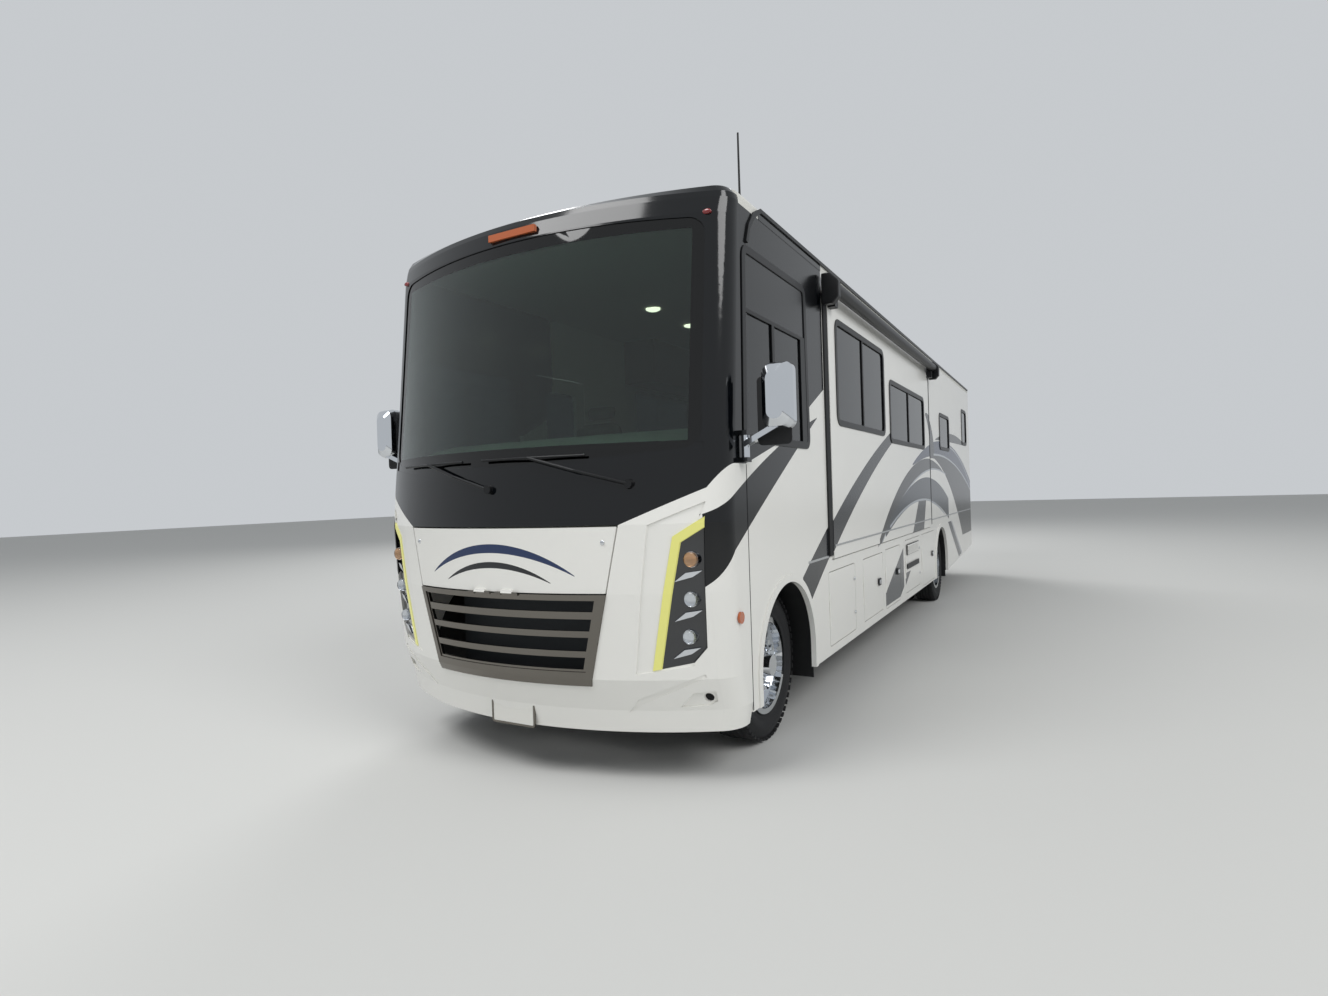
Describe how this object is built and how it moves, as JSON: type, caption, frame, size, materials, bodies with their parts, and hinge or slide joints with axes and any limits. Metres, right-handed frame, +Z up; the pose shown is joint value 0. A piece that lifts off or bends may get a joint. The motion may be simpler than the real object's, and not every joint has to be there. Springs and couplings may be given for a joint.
{
  "type": "motorhome",
  "caption": "Full-size flat-fronted motorhome on a ladder chassis with twin rear wheels, a slide-out room, an entry door, side storage bays and an opening front panel.",
  "frame": {"origin": "on the ground under the middle of the vehicle's bounding box", "axes": "+X forward, +Y to the driver's side (left), +Z up"},
  "size_m": [10.97, 3.17, 3.69],
  "materials": {
    "chassis_paint": "satin black chassis paint",
    "engine_iron": "cast",
    "underfloor_steel": "plain",
    "axle_iron": "painted",
    "spring_steel": "dark",
    "floor_board": "laminated",
    "bay_plastic": "rotomoulded",
    "white_gelcoat": "gelcoat fibreglass",
    "roof_membrane": "membrane",
    "liner_black": "moulded",
    "black_gelcoat": "gloss",
    "clear_glass": "laminated glass",
    "pewter_chrome": "dark satin chrome",
    "lamp_black": "smoked",
    "lamp_lens": "reflector",
    "running_light": "lit strip behind a clear lens",
    "amber_lens": "amber lens",
    "wiper_black": "satin",
    "dash_vinyl": "grained",
    "seat_leather": "stitched",
    "cabinet_wood": "satin laminate",
    "tinted_glass": "privacy glass",
    "shroud_white": "moulded",
    "ladder_aluminium": "bright",
    "red_lens": "red lens",
    "awning_black": "satin",
    "tyre_rubber": "tread",
    "wheel_chrome": "polished",
    "steering_black": "leather-grained",
    "slide_white": "laminated",
    "mirror_chrome": "chromed housing"
  },
  "bodies": {
    "coach": {"chassis_frame": "chassis_paint", "engine": "engine_iron", "underfloor_units": "underfloor_steel", "axles": "axle_iron", "leaf_springs": "spring_steel", "floor": "floor_board", "storage_bays": "bay_plastic", "storage_bay_left_1": "bay_plastic", "side_skirts": "white_gelcoat", "left_wall": "white_gelcoat", "right_wall": "white_gelcoat", "rear_wall": "white_gelcoat", "roof": "roof_membrane", "wheel_wells": "liner_black", "front_fascia": "white_gelcoat", "front_mask": "black_gelcoat", "windshield": "clear_glass", "grille": "pewter_chrome", "headlamp_housings": "lamp_black", "headlamp_lamps": "lamp_lens", "running_lights": "running_light", "marker_lamps": "amber_lens", "wipers": "wiper_black", "dashboard": "dash_vinyl", "cab_seats": "seat_leather", "interior_cabinets": "cabinet_wood", "side_glass": "tinted_glass", "roof_units": "shroud_white", "ladder": "ladder_aluminium", "tail_lamps": "red_lens", "patio_awning": "awning_black"},
    "knuckle_left": {"knuckle_left": "axle_iron"},
    "knuckle_right": {"knuckle_right": "axle_iron"},
    "tie_rod": {"tie_rod": "axle_iron"},
    "front_wheel_left": {"tyre_front_left": "tyre_rubber", "wheel_front_left": "wheel_chrome"},
    "front_wheel_right": {"tyre_front_right": "tyre_rubber", "wheel_front_right": "wheel_chrome"},
    "rear_wheels_left": {"tyres_rear_left": "tyre_rubber", "wheels_rear_left": "wheel_chrome"},
    "rear_wheels_right": {"tyres_rear_right": "tyre_rubber", "wheels_rear_right": "wheel_chrome"},
    "steering_wheel": {"steering_wheel": "steering_black"},
    "hood_panel": {"hood_panel": "white_gelcoat"},
    "slide_room": {"slide_wall": "white_gelcoat", "slide_box": "slide_white", "slide_glass": "tinted_glass", "slide_topper": "awning_black"},
    "entry_door": {"entry_door": "white_gelcoat", "entry_door_glass": "tinted_glass"},
    "mirror_left": {"mirror_left": "mirror_chrome"},
    "mirror_right": {"mirror_right": "mirror_chrome"},
    "bay_door_left_1": {"bay_door_left_1": "white_gelcoat"},
    "bay_door_left_2": {"bay_door_left_2": "white_gelcoat"},
    "bay_door_left_3": {"bay_door_left_3": "white_gelcoat"},
    "bay_door_left_4": {"bay_door_left_4": "white_gelcoat"},
    "bay_door_left_5": {"bay_door_left_5": "white_gelcoat"},
    "bay_door_right_1": {"bay_door_right_1": "white_gelcoat"},
    "bay_door_right_2": {"bay_door_right_2": "white_gelcoat"},
    "bay_door_right_3": {"bay_door_right_3": "white_gelcoat"}
  },
  "joints": [
    {"name": "steer_left", "type": "hinge", "parent": "coach", "child": "knuckle_left", "pos_m": [4.185, 0.86, 0.47], "axis": [0, 0, 1], "range_deg": [-40, 40]},
    {"name": "steer_right", "type": "hinge", "parent": "coach", "child": "knuckle_right", "pos_m": [4.185, -0.86, 0.47], "axis": [0, 0, 1], "range_deg": [-40, 40]},
    {"name": "tie_rod_pivot", "type": "hinge", "parent": "knuckle_left", "child": "tie_rod", "pos_m": [3.985, 0.8, 0.36], "axis": [0, 0, 1], "range_deg": [-40, 40]},
    {"name": "front_wheel_left_spin", "type": "hinge", "parent": "knuckle_left", "child": "front_wheel_left", "pos_m": [4.185, 1, 0.47], "axis": [0, 1, 0], "continuous": true},
    {"name": "front_wheel_right_spin", "type": "hinge", "parent": "knuckle_right", "child": "front_wheel_right", "pos_m": [4.185, -1, 0.47], "axis": [0, 1, 0], "continuous": true},
    {"name": "rear_wheels_left_spin", "type": "hinge", "parent": "coach", "child": "rear_wheels_left", "pos_m": [-1.962, 0.915, 0.47], "axis": [0, 1, 0], "continuous": true},
    {"name": "rear_wheels_right_spin", "type": "hinge", "parent": "coach", "child": "rear_wheels_right", "pos_m": [-1.962, -0.915, 0.47], "axis": [0, 1, 0], "continuous": true},
    {"name": "steering_wheel_turn", "type": "hinge", "parent": "coach", "child": "steering_wheel", "pos_m": [4.355, 0.62, 1.81], "axis": [-0.8192, 0, 0.5736], "range_deg": [-640, 640]},
    {"name": "hood_swing", "type": "hinge", "parent": "coach", "child": "hood_panel", "pos_m": [5.477, 0, 1.0675], "axis": [0, 1, 0], "range_deg": [0, 90]},
    {"name": "slide_travel", "type": "slide", "parent": "coach", "child": "slide_room", "axis": [0, 1, 0], "range_m": [0, 0.56]},
    {"name": "entry_door_swing", "type": "hinge", "parent": "coach", "child": "entry_door", "pos_m": [3.532, -1.274, 1.65], "axis": [0, 0, 1], "range_deg": [0, 100]},
    {"name": "bay_door_left_1_swing", "type": "hinge", "parent": "coach", "child": "bay_door_left_1", "pos_m": [3.322, 1.274, 0.695], "axis": [0, 0, -1], "range_deg": [0, 100]},
    {"name": "bay_door_left_2_swing", "type": "hinge", "parent": "coach", "child": "bay_door_left_2", "pos_m": [2.322, 1.274, 0.7], "axis": [0, 0, -1], "range_deg": [0, 100]},
    {"name": "bay_door_left_3_swing", "type": "hinge", "parent": "coach", "child": "bay_door_left_3", "pos_m": [1.482, 1.274, 0.695], "axis": [0, 0, -1], "range_deg": [0, 100]},
    {"name": "bay_door_left_4_swing", "type": "hinge", "parent": "coach", "child": "bay_door_left_4", "pos_m": [0.532, 1.274, 0.715], "axis": [0, 0, -1], "range_deg": [0, 100]},
    {"name": "bay_door_left_5_swing", "type": "hinge", "parent": "coach", "child": "bay_door_left_5", "pos_m": [-0.438, 1.274, 0.69], "axis": [0, 0, -1], "range_deg": [0, 100]},
    {"name": "bay_door_right_1_swing", "type": "hinge", "parent": "coach", "child": "bay_door_right_1", "pos_m": [2.482, -1.274, 0.7], "axis": [0, 0, 1], "range_deg": [0, 100]},
    {"name": "bay_door_right_2_swing", "type": "hinge", "parent": "coach", "child": "bay_door_right_2", "pos_m": [1.082, -1.274, 0.7], "axis": [0, 0, 1], "range_deg": [0, 100]},
    {"name": "bay_door_right_3_swing", "type": "hinge", "parent": "coach", "child": "bay_door_right_3", "pos_m": [-0.268, -1.274, 0.7], "axis": [0, 0, 1], "range_deg": [0, 100]},
    {"name": "mirror_left_fold", "type": "hinge", "parent": "coach", "child": "mirror_left", "pos_m": [4.875, 1.3, 1.83], "axis": [0, 0, 1], "range_deg": [0, 60]},
    {"name": "mirror_right_fold", "type": "hinge", "parent": "coach", "child": "mirror_right", "pos_m": [4.875, -1.3, 1.83], "axis": [0, 0, -1], "range_deg": [0, 60]}
  ],
  "couplings": [
    {"joint": "steer_right", "follows": "steer_left", "ratio": 1},
    {"joint": "tie_rod_pivot", "follows": "steer_left", "ratio": -1},
    {"joint": "steering_wheel_turn", "follows": "steer_left", "ratio": 16}
  ]
}
